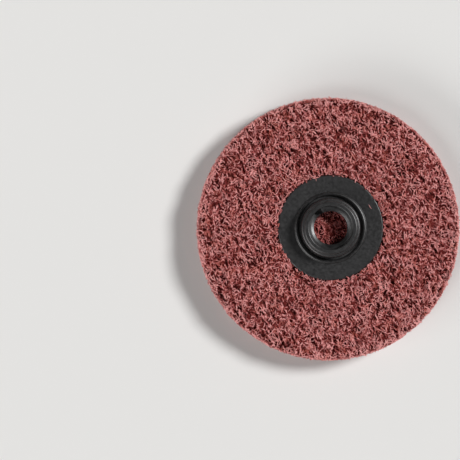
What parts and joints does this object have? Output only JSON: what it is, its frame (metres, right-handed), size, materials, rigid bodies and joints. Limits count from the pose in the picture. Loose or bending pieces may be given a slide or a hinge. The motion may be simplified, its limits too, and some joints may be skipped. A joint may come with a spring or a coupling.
{
  "type": "surface conditioning disc",
  "caption": "Round pad of coarse maroon non-woven abrasive web with a black hub, whose threaded boss screws onto a quick-change holder to blend and clean metal.",
  "frame": {"origin": "centre of the working face, on which the disc lies", "axes": "+Z from the working face to the hub side, through the pad's thickness; +X to the right and +Y up in the picture, which looks straight down on the hub side"},
  "size_m": [0.05, 0.05, 0.0093],
  "materials": {
    "abrasive_web": "coarse non-woven nylon web with resin and abrasive grain",
    "black_nylon": "satin moulded"
  },
  "bodies": {
    "root": {"abrasive_fleece": "abrasive_web", "threaded_hub": "black_nylon"}
  },
  "joints": []
}
